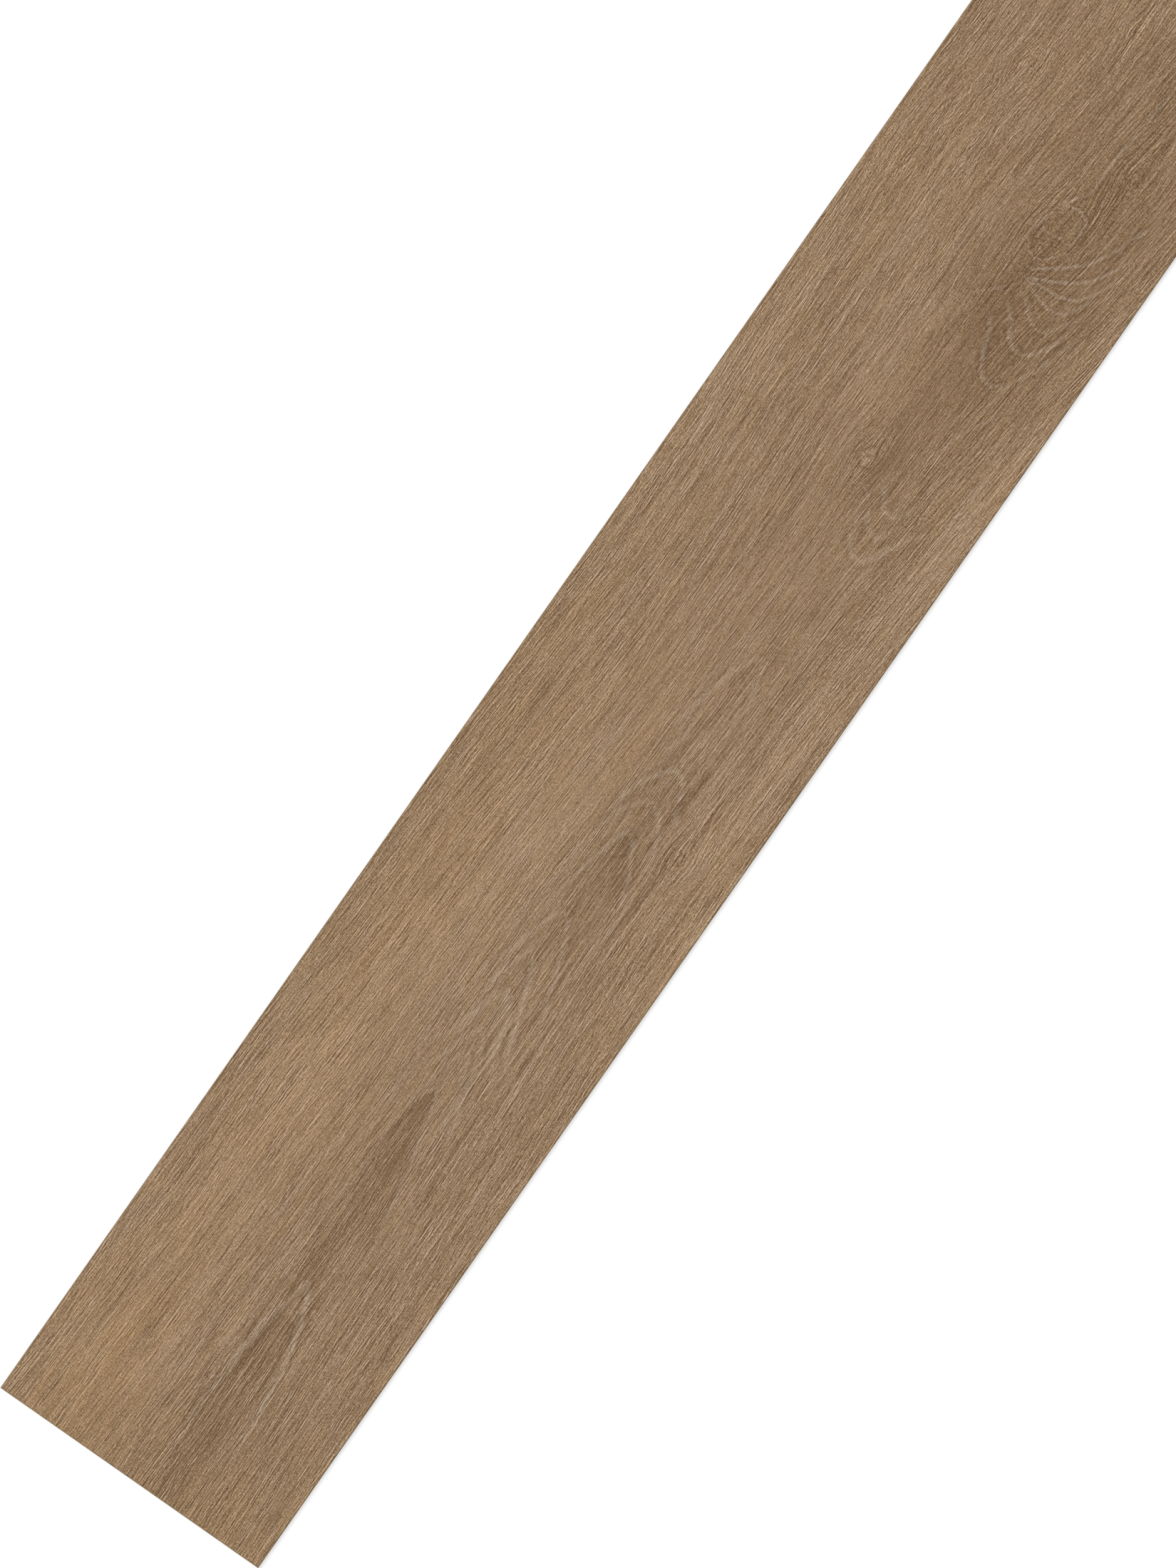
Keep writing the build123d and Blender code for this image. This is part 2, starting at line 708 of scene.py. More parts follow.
@dataclass(frozen=True)
class GrainField:
    """The oak's grain: how its fibres run, and its figure, knots and tone.

    Attributes:
        width: the plank's width.
        turn_start: share of the width up to which the fibres turn as at the left edge.
        turn_end: share of it from which they turn as at the right edge.
        wave_length: length of the fibres' slow waves.
        wave_width: how far across such a wave reaches.
        wave_height: how far those waves sway.
        ripple_length: length of the fibres' short waves.
        ripple_width: how far across such a wave reaches.
        ripple_height: how far those sway.
        push_length: how far along a knot bends the fibres, as a share of its own length.
        push_width: how far across it does, as a share of its own width.
        band_length: length of a soft band of the print.
        band_width: its width.
        band_tone: how much such a band differs in tone.
        cloud_tone: how much the placed clouds count.
        streak_length: length of a pressed streak.
        streak_width: width of a pressed streak and the gap beside it.
        streak_edge: how gently a streak sinks from high to deep.
        vein_reach: how far a figure line's distance is kept.
        vein_gap: how much nearer than the next line a line has to be to show fully.
        vein_tip: share of a line over which it fades out at each end.
        sway_length: length of the waves in a knot's rings.
        sway_width: their width.
        sway_height: how far those waves move the rings.
    """

    width: float
    turn_start: float = 0.25
    turn_end: float = 0.85
    wave_length: float = 95.0
    wave_width: float = 34.0
    wave_height: float = 1.6
    ripple_length: float = 18.0
    ripple_width: float = 7.0
    ripple_height: float = 0.16
    push_length: float = 2.1
    push_width: float = 2.3
    band_length: float = 120.0
    band_width: float = 7.5
    band_tone: float = 0.18
    cloud_tone: float = 0.55
    streak_length: float = 26.0
    streak_width: float = 1.4
    streak_edge: float = 0.55
    vein_reach: float = 9.0
    vein_gap: float = 2.5
    vein_tip: float = 0.12
    sway_length: float = 9.0
    sway_width: float = 6.0
    sway_height: float = 0.18

    def drift(self, along: np.ndarray, across: np.ndarray) -> np.ndarray:
        """Gives how far the fibres have moved across since the near end.

        Args:
            along: places from the near end.
            across: places from the left edge.

        Returns:
            The drift at each place.
        """
        stations = np.linspace(0, GRAIN_TURNS[-1].along, 400)
        places = [turn.along for turn in GRAIN_TURNS]
        step = stations[1] - stations[0]
        upper = np.cumsum(np.interp(stations, places, [turn.upper for turn in GRAIN_TURNS])) * step
        lower = np.cumsum(np.interp(stations, places, [turn.lower for turn in GRAIN_TURNS])) * step
        share = ease(across, self.turn_start * self.width, self.turn_end * self.width)
        return np.interp(along, stations, upper) * (1 - share) + np.interp(along, stations, lower) * share

    def flow(self, along: np.ndarray, across: np.ndarray) -> tuple[np.ndarray, np.ndarray]:
        """Gives the fibre's own coordinates.

        Args:
            along: places from the near end.
            across: places from the left edge.

        Returns:
            Place along the fibre, and which fibre it is.
        """
        wave = LatticeNoise(11).at(along / self.wave_length, across / self.wave_width)
        ripple = LatticeNoise(12).at(along / self.ripple_length, across / self.ripple_width)
        fibre = across - self.drift(along, across) - wave * self.wave_height - ripple * self.ripple_height
        for knot in KNOTS:
            run = (along - knot.along) / (self.push_length * knot.half_length)
            offset = across - knot.across
            reach = run**2 + (offset / (self.push_width * knot.half_width)) ** 2
            fibre -= knot.push * offset * np.exp(-reach)
        return along, fibre

    def veins(self, lines: tuple[Vein, ...], along: np.ndarray, across: np.ndarray) -> FigureLines:
        """Measures some of the figure lines.

        Args:
            lines: the lines.
            along: places from the near end.
            across: places from the left edge.

        Returns:
            How each place lies beside the nearest of them.
        """
        nearest = np.full_like(along, 4 * self.vein_reach)
        second = nearest.copy()
        offset = np.full_like(along, self.vein_reach)
        run = np.zeros_like(along)
        strength = np.zeros_like(along)
        shade = np.zeros_like(along)
        for vein in lines:
            spots = smooth_line(vein.points)
            low = spots.min(0) - 2 * self.vein_reach
            high = spots.max(0) + 2 * self.vein_reach
            near = (along > low[0]) & (along < high[0]) & (across > low[1]) & (across < high[1])
            best, side, square, place = measure_line(spots, along[near], across[near])
            fade = ease(place, 0, self.vein_tip) * (1 - ease(place, 1 - self.vein_tip, 1))
            close = 1 - ease(best, 0.5 * self.vein_reach, self.vein_reach)
            nearer = best < nearest[near]
            second[near] = np.where(nearer, nearest[near], np.minimum(second[near], best))
            nearest[near] = np.where(nearer, best, nearest[near])
            offset[near] = np.where(nearer, np.clip(side * best / vein.width, -9, 9), offset[near])
            run[near] = np.where(nearer, square, run[near])
            strength[near] = np.where(nearer, vein.strength * fade * close, strength[near])
            dark = vein.shade * fade * np.exp(-best / vein.shade_width)
            shade[near] = np.where(nearer, dark, shade[near])
        apart = ease(second - nearest, 0, self.vein_gap)
        return FigureLines(offset, run, strength * apart, shade * apart)

    def knots(self, along: np.ndarray, across: np.ndarray) -> tuple[np.ndarray, np.ndarray, np.ndarray]:
        """Measures the knots.

        Args:
            along: places from the near end.
            across: places from the left edge.

        Returns:
            Distance from the nearest knot as a share of its radius, its number of rings, and
            its strength.
        """
        radius = np.full_like(along, 3.0)
        rings = np.zeros_like(along)
        strength = np.zeros_like(along)
        sway = LatticeNoise(13).at(along / self.sway_length, across / self.sway_width)
        for knot in KNOTS:
            run = (along - knot.along) / knot.half_length
            offset = (across - knot.across) / knot.half_width
            reach = np.hypot(run, offset) * (1 + self.sway_height * sway)
            nearer = reach < radius
            radius = np.where(nearer, reach, radius)
            rings = np.where(nearer, knot.rings, rings)
            strength = np.where(nearer, knot.strength, strength)
        return radius, rings, strength

    def at(self, along: np.ndarray, across: np.ndarray) -> Grain:
        """Works out the whole grain.

        Args:
            along: places from the near end.
            across: places from the left edge.

        Returns:
            The grain at each place.
        """
        flow_along, flow_across = self.flow(along, across)
        radius, rings, knot_strength = self.knots(along, across)
        bands = LatticeNoise(21).at(flow_along / self.band_length, flow_across / self.band_width)
        tone = self.cloud_tone * cloud_sum(CLOUDS, along, across) + self.band_tone * bands
        length = self.streak_length
        width = self.streak_width
        coarse = LatticeNoise(22).at(flow_along / length, flow_across / width)
        fine = LatticeNoise(23).at(flow_along / (0.7 * length), flow_across / (0.6 * width))
        streak = ease(0.7 * coarse + 0.5 * fine, -self.streak_edge, self.streak_edge)
        return Grain(
            flow_along=flow_along,
            flow_across=flow_across,
            tone=tone,
            warmth=np.clip(cloud_sum(WARM_AREAS, along, across), 0, 1),
            calm=np.clip(cloud_sum(CALM_AREAS, along, across), -1, 1),
            wavy=np.clip(cloud_sum(WAVY_AREAS, along, across), 0, 1),
            bold=np.clip(cloud_sum(BOLD_AREAS, along, across), 0, 1),
            streak=streak,
            fleck=np.clip(cloud_sum(FLECK_AREAS, along, across), 0, 1),
            figure=(self.veins(VEINS[0::2], along, across), self.veins(VEINS[1::2], along, across)),
            knot_radius=radius,
            knot_rings=rings,
            knot_strength=knot_strength,
        )


def smooth_line(points: tuple[tuple[float, float], ...], steps: int = 5) -> np.ndarray:
    """Draws a smooth line through a few points.

    Args:
        points: the places it passes through.
        steps: how many parts each stretch between two points gets.

    Returns:
        The line's own points, one a row.
    """
    spots = np.array(points, float)
    padded = np.vstack([2 * spots[0] - spots[1], spots, 2 * spots[-1] - spots[-2]])
    line = []
    for before, start, end, after in zip(padded, padded[1:], padded[2:], padded[3:]):
        for share in np.arange(steps) / steps:
            line.append(
                0.5
                * (
                    2 * start
                    + (end - before) * share
                    + (2 * before - 5 * start + 4 * end - after) * share**2
                    + (3 * start - before - 3 * end + after) * share**3
                )
            )
    line.append(spots[-1])
    return np.array(line)


def measure_line(spots: np.ndarray, x: np.ndarray, y: np.ndarray) -> tuple[np.ndarray, ...]:
    """Measures how places lie beside a line.

    Args:
        spots: the line's points, one a row.
        x: the places' first coordinates.
        y: their second coordinates.

    Returns:
        Distance from the line, its side, how squarely the line runs across, and how far along
        the line the nearest point is, from 0 to 1.
    """
    best = np.full_like(x, np.inf)
    side = np.zeros_like(x)
    square = np.zeros_like(x)
    place = np.zeros_like(x)
    for index, (start, end) in enumerate(zip(spots[:-1], spots[1:])):
        step = end - start
        length = math.hypot(*step)
        run = x - start[0]
        rise = y - start[1]
        share = np.clip((run * step[0] + rise * step[1]) / length**2, 0, 1)
        gap = np.hypot(run - share * step[0], rise - share * step[1])
        closer = gap < best
        best = np.where(closer, gap, best)
        side = np.where(closer, np.sign(step[0] * rise - step[1] * run), side)
        square = np.where(closer, abs(step[1]) / length, square)
        place = np.where(closer, (index + share) / (len(spots) - 1), place)
    return best, side, square, place


@dataclass(frozen=True)
class FibreLayer:
    """One layer of the print: noise stretched along the fibres.

    Attributes:
        length: length of its streaks.
        width: their width.
        place: where in the noise it is read, so that layers differ.
        weight: how much it counts, below 0 for darker.
        detail: how many finer layers the noise has.
    """

    length: float
    width: float
    place: float
    weight: float = 1.0
    detail: float = 0.0


class MaterialGraph:
    """A material in work, and the patterns that its node tree is built from."""

    def __init__(self, name: str) -> None:
        """Starts a material that has only its Principled shader and its output.

        Args:
            name: what the real material is called.
        """
        self.material = bpy.data.materials.new(name)
        self.material.use_nodes = True
        self.tree = self.material.node_tree
        self.shader = self.tree.nodes["Principled BSDF"]

    def add(self, kind: str, inputs: dict[int | str, Any] | None = None, **settings: Any) -> Sockets:
        """Adds one node to the material.

        Args:
            kind: the node's type name.
            inputs: a value or another node's output for each input socket.
            **settings: the node's own options.

        Returns:
            The node's outputs.
        """
        return add_node(self.tree, kind, inputs, **settings).outputs

    def parts(self, name: str) -> tuple[Socket, Socket, Socket]:
        """Reads three values that the mesh carries.

        Args:
            name: the attribute that holds them.

        Returns:
            The three values.
        """
        vector = self.add("ShaderNodeAttribute", attribute_name=name)["Vector"]
        return tuple(self.add("ShaderNodeSeparateXYZ", {0: vector}))

    def streaks(self, flow: Socket, layer: FibreLayer) -> Socket:
        """Draws one layer of the print.

        Args:
            flow: the fibre coordinates, in millimetres.
            layer: the layer.

        Returns:
            The noise, about 0.5 on average.
        """
        inputs = {0: flow, 1: (1 / layer.length, 1 / layer.width, 0), 2: (layer.place,) * 3}
        place = self.add("ShaderNodeVectorMath", inputs, operation="MULTIPLY_ADD")[0]
        inputs = {"Vector": place, "Scale": 1.0, "Detail": layer.detail, "Roughness": 0.55}
        return self.add("ShaderNodeTexNoise", inputs)["Fac"]

    def weigh(self, value: Socket, weight: Level, base: Level, middle: float = 0.5) -> Socket:
        """Adds a weighted layer to what is there.

        Args:
            value: the layer.
            weight: how much it counts.
            base: what it is added to.
            middle: the layer's value that changes nothing.

        Returns:
            The sum.
        """
        centred = self.add("ShaderNodeMath", {0: value, 1: middle}, operation="SUBTRACT")[0]
        inputs = {0: centred, 1: weight, 2: base}
        return self.add("ShaderNodeMath", inputs, operation="MULTIPLY_ADD")[0]

    def fall_off(self, value: Socket, start: float, end: float) -> Socket:
        """Falls smoothly from 1 to 0.

        Args:
            value: what is measured.
            start: where the result is still 1.
            end: where it reaches 0.

        Returns:
            The result.
        """
        inputs = {"Value": value, "From Min": start, "From Max": end, "To Min": 1.0, "To Max": 0.0}
        return self.add("ShaderNodeMapRange", inputs, interpolation_type="SMOOTHSTEP")["Result"]

    def shade(self, level: Socket, stops: dict[float, str]) -> Socket:
        """Turns a level into colours that blend from one to the next.

        Args:
            level: the level, about 0 to 1.
            stops: the colour at each level, from the lowest up.

        Returns:
            The colour.
        """
        ramp = add_node(self.tree, "ShaderNodeValToRGB", {"Fac": level})
        elements = ramp.color_ramp.elements
        while len(elements) < len(stops):
            elements.new(1.0)
        for index, (place, code) in enumerate(stops.items()):
            elements[index].position = place
            elements[index].color = linear(code)
        return ramp.outputs["Color"]

    def tint(self, colour: Socket, code: str, share: Level, **settings: Any) -> Socket:
        """Mixes one colour into another.

        Args:
            colour: what is there.
            code: the colour that is mixed in.
            share: how much of it.
            **settings: the mix node's own options.

        Returns:
            The new colour.
        """
        inputs = {0: share, 6: colour, 7: linear(code)}
        return self.add("ShaderNodeMix", inputs, data_type="RGBA", **settings)[2]

    def finish(
        self,
        colour: Socket,
        height: Socket,
        depth: float,
        roughness: float,
    ) -> bpy.types.Material:
        """Gives the vinyl its colour, its finest relief and its sheen.

        Args:
            colour: the colour.
            height: the relief, 0 for low and 1 for high.
            depth: how deep the relief is.
            roughness: how dull the surface is, from 0 to 1.

        Returns:
            The finished material.
        """
        inputs = {"Height": height, "Distance": depth * MM, "Strength": 1.0}
        normal = self.add("ShaderNodeBump", inputs)["Normal"]
        self.tree.links.new(colour, self.shader.inputs["Base Color"])
        self.tree.links.new(normal, self.shader.inputs["Normal"])
        self.shader.inputs["Roughness"].default_value = roughness
        self.shader.inputs["IOR"].default_value = VINYL_IOR
        return self.material


@dataclass(frozen=True)
class PrintPlace:
    """The sockets that tell the print where on the plank it is.

    Attributes:
        flow: the fibre coordinates, in millimetres.
        tone: how light the place is.
        streak: how deep it is pressed.
        fleck: how far the fibres break up into ticks.
        warmth: how much it leans to yellow.
        calm: how far the fine lines fade out.
        wavy: how much the fibres waver.
        bold: how much they gather in bands.
        runs: how squarely the figure lines of each set cross the fibres.
    """

    flow: Socket
    tone: Socket
    streak: Socket
    fleck: Socket
    warmth: Socket
    calm: Socket
    wavy: Socket
    bold: Socket
    runs: tuple[Socket, Socket]


@dataclass(frozen=True)
class PrintedOak:
    """The printed PVC film with its clear, matt wear layer. It gives the eye smoked oak.

    Attributes:
        shades: the print's inks from the darkest pore to the palest fleck, a touch darker
            than the floor looks, because the coat's sheen lies over them.
        darkest: level of the first ink.
        shade_step: how far apart in level the inks are.
        yellow: colour that the print leans to.
        yellow_lean: how far it leans there everywhere.
        warm_lean: how much further it does in the warm areas.
        bold_lean: the same where the fibres gather in bands, below 0 for less.
        grey: colour that the pale figure lines lean to.
        grey_lean: how far they do.
        waver: sideways sway of the fibres, everywhere.
        even_sway: share of that sway that is there even where the fibres lie straight.
        curl: their stronger sway where the wood is curly.
        soft_bands: wide, soft bands.
        bold_bands: bands a few millimetres wide, with their weight where the fibres gather.
        band_weight: their weight elsewhere.
        streak_tone: how much darker a pressed streak is.
        fibres: long fibres.
        specks: shorter fibres.
        clusters: where the fine lines gather.
        cluster_edge: noise at which a cluster is full and at which it has ended.
        sparse: how clearly the fine lines show outside a cluster.
        calm_fade: how much less they show where the wood is calm.
        long_lines: the long fine lines.
        curly_fade: how much less those show where the wood is curly.
        wavy_fade: the same where it is wavy.
        short_lines: the short fine lines.
        ticks: the ticks of curly wood.
        grit: the print's dots.
        pores: the oak's open pores.
        pore_edge: noise at which a pore is full and at which it has ended.
        pore_share: how much of the face is pores, so that they don't darken it on average.
        dashes: the dashes that the figure lines break up into.
        dash_edge: noise at which a dash is full and at which it has ended.
        dash_gap: how clearly a line shows between its dashes.
        tints: areas that lean to yellow or away from it.
        rim: how far beside a dark fibre line its pale rim lies; the rim is a painted highlight, and the
            dark line partly painted shade, of the pressed grain lit from one side.
        tone_weight: how much the placed light and dark areas count.
        comb: how far the fibres shift a figure line that crosses them squarely.
        least_slant: share of that shift where the line runs along the fibres.
        calm_slant: how much less the shift is where the wood is calm.
        vein_contrast: how much paler a figure line is.
        vein_width: how wide it is, as a share of its placed width.
        vein_shade: how much darker its inner side is.
        vein_border: how much darker than the print the line's borders are, as a share of
            its own contrast.
        border_edge: where such a border starts to fade and where it ends.
        knot_edge: where a knot's rings start to fade and where they end.
        ring_contrast: how much darker a knot's ring is.
        ring_sway: how unevenly the rings run.
        ring_waves: how many waves they have in a metre.
        emboss: depth of the finest pressed grain.
        fibre_relief: share of it that the long fibres have.
        speck_relief: share that the shorter fibres have.
        pore_relief: how deep the pores are in it.
        roughness: of the matt urethane coat.
    """

    shades: tuple[str, ...] = ("55320B", "674622", "7A5C37", "8D7150", "A18567", "B4997D", "C7AE94")
    darkest: float = 0.086
    shade_step: float = 0.138
    yellow: str = "9E7A4D"
    yellow_lean: float = 0.12
    warm_lean: float = 0.36
    bold_lean: float = -0.12
    grey: str = "A8927D"
    grey_lean: float = 0.45
    waver: FibreLayer = FibreLayer(13.0, 4.5, 83.1, detail=1.0)
    even_sway: float = 0.4
    curl: FibreLayer = FibreLayer(13.0, 6.0, 97.3, 3.0, 1.0)
    soft_bands: FibreLayer = FibreLayer(90.0, 3.4, 3.7, 0.08, 2.0)
    bold_bands: FibreLayer = FibreLayer(50.0, 1.5, 5.3, 0.36)
    band_weight: float = 0.06
    streak_tone: float = 0.03
    fibres: FibreLayer = FibreLayer(44.0, 0.8, 11.5, 0.20)
    specks: FibreLayer = FibreLayer(14.0, 0.7, 23.5, 0.20)
    clusters: FibreLayer = FibreLayer(60.0, 3.0, 41.7, 0.7, 1.0)
    cluster_edge: tuple[float, float] = (0.62, 0.36)
    sparse: float = 0.55
    calm_fade: float = 0.7
    long_lines: tuple[FibreLayer, ...] = (
        FibreLayer(24.0, 0.56, 13.5, 0.46),
        FibreLayer(10.0, 0.52, 27.5, 0.49),
    )
    curly_fade: float = 0.8
    wavy_fade: float = 0.12
    short_lines: FibreLayer = FibreLayer(4.0, 0.48, 35.5, 0.52)
    ticks: FibreLayer = FibreLayer(2.2, 0.48, 71.5, 0.6)
    grit: FibreLayer = FibreLayer(0.5, 0.42, 61.5, 0.85)
    pores: FibreLayer = FibreLayer(22.0, 0.55, 31.5, -0.16)
    pore_edge: tuple[float, float] = (0.28, 0.42)
    pore_share: float = 0.11
    dashes: FibreLayer = FibreLayer(6.0, 0.9, 47.1, 1.1)
    dash_edge: tuple[float, float] = (0.60, 0.38)
    dash_gap: float = 0.25
    tints: FibreLayer = FibreLayer(45.0, 5.0, 57.3, 1.1, 2.0)
    rim: float = 0.42
    tone_weight: float = 0.15
    comb: float = 2.6
    least_slant: float = 0.35
    calm_slant: float = 0.6
    vein_contrast: float = 0.127
    vein_width: float = 2.4
    vein_shade: float = 0.15
    vein_border: float = 0.6
    border_edge: tuple[float, float] = (2.0, 4.4)
    knot_edge: tuple[float, float] = (0.85, 1.25)
    ring_contrast: float = 0.08
    ring_sway: float = 0.55
    ring_waves: float = 260.0
    emboss: float = 0.055
    fibre_relief: float = 1.2
    speck_relief: float = 0.5
    pore_relief: float = 0.5
    roughness: float = 0.55

    def material(self) -> bpy.types.Material:
        """Makes the face's material.

        Returns:
            The material.
        """
        graph = MaterialGraph("printed_oak_vinyl")
        place = self.read_place(graph)
        fibres = graph.streaks(place.flow, self.fibres)
        specks = graph.streaks(place.flow, self.specks)
        pores = graph.fall_off(graph.streaks(place.flow, self.pores), *self.pore_edge)
        level = self.bands(graph, place)
        level = graph.weigh(fibres, self.fibres.weight, level)
        level = graph.weigh(specks, self.specks.weight, level)
        level = self.fine_lines(graph, place, level)
        level = graph.weigh(graph.streaks(place.flow, self.grit), self.grit.weight, level)
        level = graph.weigh(pores, self.pores.weight, level, self.pore_share)
        level, on_line = self.figure(graph, place, level, (fibres, specks))
        level = self.knots(graph, level)
        height = graph.weigh(fibres, self.fibre_relief, 0.5)
        height = graph.weigh(specks, self.speck_relief, height)
        height = graph.weigh(pores, -self.pore_relief, height, 0.0)
        colour = self.colour(graph, place, level, on_line)
        return graph.finish(colour, height, self.emboss, self.roughness)

    def read_place(self, graph: MaterialGraph) -> PrintPlace:
        """Reads what the mesh carries and makes the fibres waver.

        Args:
            graph: the material in work.

        Returns:
            The sockets that the print is drawn with.
        """
        flow = graph.add("ShaderNodeAttribute", attribute_name="grain_flow")["Vector"]
        tone, streak, fleck = graph.parts("grain_look")
        warmth, calm, wavy = graph.parts("grain_tint")
        first_run, second_run, bold = graph.parts("grain_cross")
        slight = graph.weigh(wavy, 1 - self.even_sway, self.even_sway, 0.0)
        sway = graph.weigh(graph.streaks(flow, self.waver), slight, 0.0)
        strong = graph.weigh(fleck, self.curl.weight, 0.0, 0.0)
        sway = graph.weigh(graph.streaks(flow, self.curl), strong, sway)
        shift = graph.add("ShaderNodeCombineXYZ", {1: sway})[0]
        moved = graph.add("ShaderNodeVectorMath", {0: flow, 1: shift}, operation="ADD")[0]
        return PrintPlace(moved, tone, streak, fleck, warmth, calm, wavy, bold, (first_run, second_run))

    def bands(self, graph: MaterialGraph, place: PrintPlace) -> Socket:
        """Draws the light and dark areas and the bands in them.

        Args:
            graph: the material in work.
            place: where on the plank it is.

        Returns:
            The print's level so far.
        """
        level = graph.weigh(place.tone, self.tone_weight, 0.5, 0.0)
        level = graph.weigh(graph.streaks(place.flow, self.soft_bands), self.soft_bands.weight, level)
        boldness = graph.weigh(place.bold, self.bold_bands.weight, self.band_weight, 0.0)
        level = graph.weigh(graph.streaks(place.flow, self.bold_bands), boldness, level)
        return graph.weigh(place.streak, -self.streak_tone, level)

    def fine_lines(self, graph: MaterialGraph, place: PrintPlace, level: Socket) -> Socket:
        """Adds the fine lines, in clusters, with fewer long ones where the wood is curly.

        Args:
            graph: the material in work.
            place: where on the plank it is.
            level: the print's level so far.

        Returns:
            The new level.
        """
        cluster = graph.fall_off(graph.streaks(place.flow, self.clusters), *self.cluster_edge)
        cluster = graph.weigh(cluster, self.clusters.weight, self.sparse, 0.0)
        cluster = graph.weigh(place.calm, -self.calm_fade, cluster, 0.0)
        straight = graph.weigh(place.fleck, -self.curly_fade, 1.0, 0.0)
        straight = graph.weigh(place.wavy, -self.wavy_fade, straight, 0.0)
        lines: Level = 0.0
        for layer in self.long_lines:
            lines = self.lines_with_painted_emboss_shading(graph, place.flow, layer, lines)
        lines = graph.weigh(lines, straight, 0.0, 0.0)
        lines = self.lines_with_painted_emboss_shading(graph, place.flow, self.short_lines, lines)
        ticks = self.lines_with_painted_emboss_shading(graph, place.flow, self.ticks, 0.0)
        lines = graph.weigh(ticks, place.fleck, lines, 0.0)
        return graph.weigh(lines, cluster, level, 0.0)

    def lines_with_painted_emboss_shading(
        self,
        graph: MaterialGraph,
        flow: Socket,
        layer: FibreLayer,
        base: Level,
    ) -> Socket:
        """Adds fibres that are each a dark line with a pale rim beside it: partly print, and partly
        painted shade and painted highlight of the pressed grain lit from one side.

        Args:
            graph: the material in work.
            flow: the fibre coordinates.
            layer: the lines' noise.
            base: what it is added to.

        Returns:
            The sum.
        """
        # The same noise, read a little across and taken away, paints a pale highlight beside each dark
        # line: painted shading of a pressed groove lit from one side.
        inputs = {0: flow, 1: (0, self.rim, 0)}
        beside = graph.add("ShaderNodeVectorMath", inputs, operation="ADD")[0]
        line = graph.weigh(graph.streaks(flow, layer), layer.weight, base)
        return graph.weigh(graph.streaks(beside, layer), -layer.weight, line)

    def figure(
        self,
        graph: MaterialGraph,
        place: PrintPlace,
        level: Socket,
        fibres: tuple[Socket, ...],
    ) -> tuple[Socket, Socket]:
        """Adds the pale figure lines, broken into dashes where they cross the fibres.

        Args:
            graph: the material in work.
            place: where on the plank it is.
            level: the print's level so far.
            fibres: the noise of the fibres that shift the lines along themselves.

        Returns:
            The new level, and how much a place is on a line.
        """
        comb: Level = 0.0
        for noise in fibres:
            comb = graph.weigh(noise, self.comb, comb)
        dashes = graph.fall_off(graph.streaks(place.flow, self.dashes), *self.dash_edge)
        dashes = graph.weigh(dashes, self.dashes.weight, self.dash_gap, 0.0)
        dashes = graph.weigh(place.calm, self.dash_gap, dashes, 0.0)
        on_line: Level = 0.0
        for index, run in enumerate(place.runs):
            slant = graph.weigh(run, 1.0, self.least_slant, 0.0)
            slant = graph.weigh(place.calm, -self.calm_slant, slant, 0.0)
            shift = graph.weigh(comb, slant, 0.0, 0.0)
            offset, strength, inner = graph.parts(f"grain_vein_{index}")
            gap = graph.add("ShaderNodeMath", {0: offset, 1: shift}, operation="ADD")[0]
            dark = graph.weigh(graph.fall_off(gap, 0.6, -0.6), inner, 0.0, 0.0)
            level = graph.weigh(dark, -self.vein_shade, level, 0.0)
            distance = graph.add("ShaderNodeMath", {0: gap}, operation="ABSOLUTE")[0]
            strength = graph.weigh(dashes, strength, 0.0, 0.0)
            core = graph.fall_off(distance, 0.0, self.vein_width)
            line = graph.weigh(core, strength, 0.0, 0.0)
            level = graph.weigh(line, self.vein_contrast, level, 0.0)
            border = graph.weigh(core, -1.0, graph.fall_off(distance, *self.border_edge), 0.0)
            border = graph.weigh(border, strength, 0.0, 0.0)
            level = graph.weigh(border, -self.vein_border * self.vein_contrast, level, 0.0)
            on_line = graph.weigh(line, 1.0, on_line, 0.0)
        return level, on_line

    def knots(self, graph: MaterialGraph, level: Socket) -> Socket:
        """Adds the knots' rings.

        Args:
            graph: the material in work.
            level: the print's level so far.

        Returns:
            The new level.
        """
        radius, rings, strength = graph.parts("grain_knot")
        place = graph.add("ShaderNodeTexCoord")["Object"]
        inputs = {"Vector": place, "Scale": self.ring_waves, "Detail": 2.0, "Roughness": 0.5}
        sway = graph.add("ShaderNodeTexNoise", inputs)["Fac"]
        reach = graph.weigh(sway, self.ring_sway, radius)
        inside = graph.weigh(graph.fall_off(reach, *self.knot_edge), strength, 0.0, 0.0)
        angle = graph.weigh(graph.weigh(reach, rings, 0.0, 0.0), math.tau, 0.0, 0.0)
        wave = graph.add("ShaderNodeMath", {0: angle}, operation="COSINE")[0]
        return graph.weigh(graph.weigh(wave, inside, 0.0, 0.0), -self.ring_contrast, level, 0.0)

    def colour(
        self,
        graph: MaterialGraph,
        place: PrintPlace,
        level: Socket,
        on_line: Socket,
    ) -> Socket:
        """Inks the print, yellower in the warm areas and greyer on the figure lines.

        Args:
            graph: the material in work.
            place: where on the plank it is.
            level: the print's level.
            on_line: how much a place is on a figure line.

        Returns:
            The colour.
        """
        inks = {self.darkest + self.shade_step * step: code for step, code in enumerate(self.shades)}
        colour = graph.shade(level, inks)
        lean = graph.weigh(place.warmth, self.warm_lean, self.yellow_lean, 0.0)
        lean = graph.weigh(graph.streaks(place.flow, self.tints), self.tints.weight, lean)
        lean = graph.weigh(place.bold, self.bold_lean, lean, 0.0)
        greyness = graph.weigh(on_line, self.grey_lean, 0.0, 0.0)
        colour = graph.tint(colour, self.yellow, lean, blend_type="COLOR", clamp_factor=True)
        return graph.tint(colour, self.grey, greyness, blend_type="COLOR", clamp_factor=True)


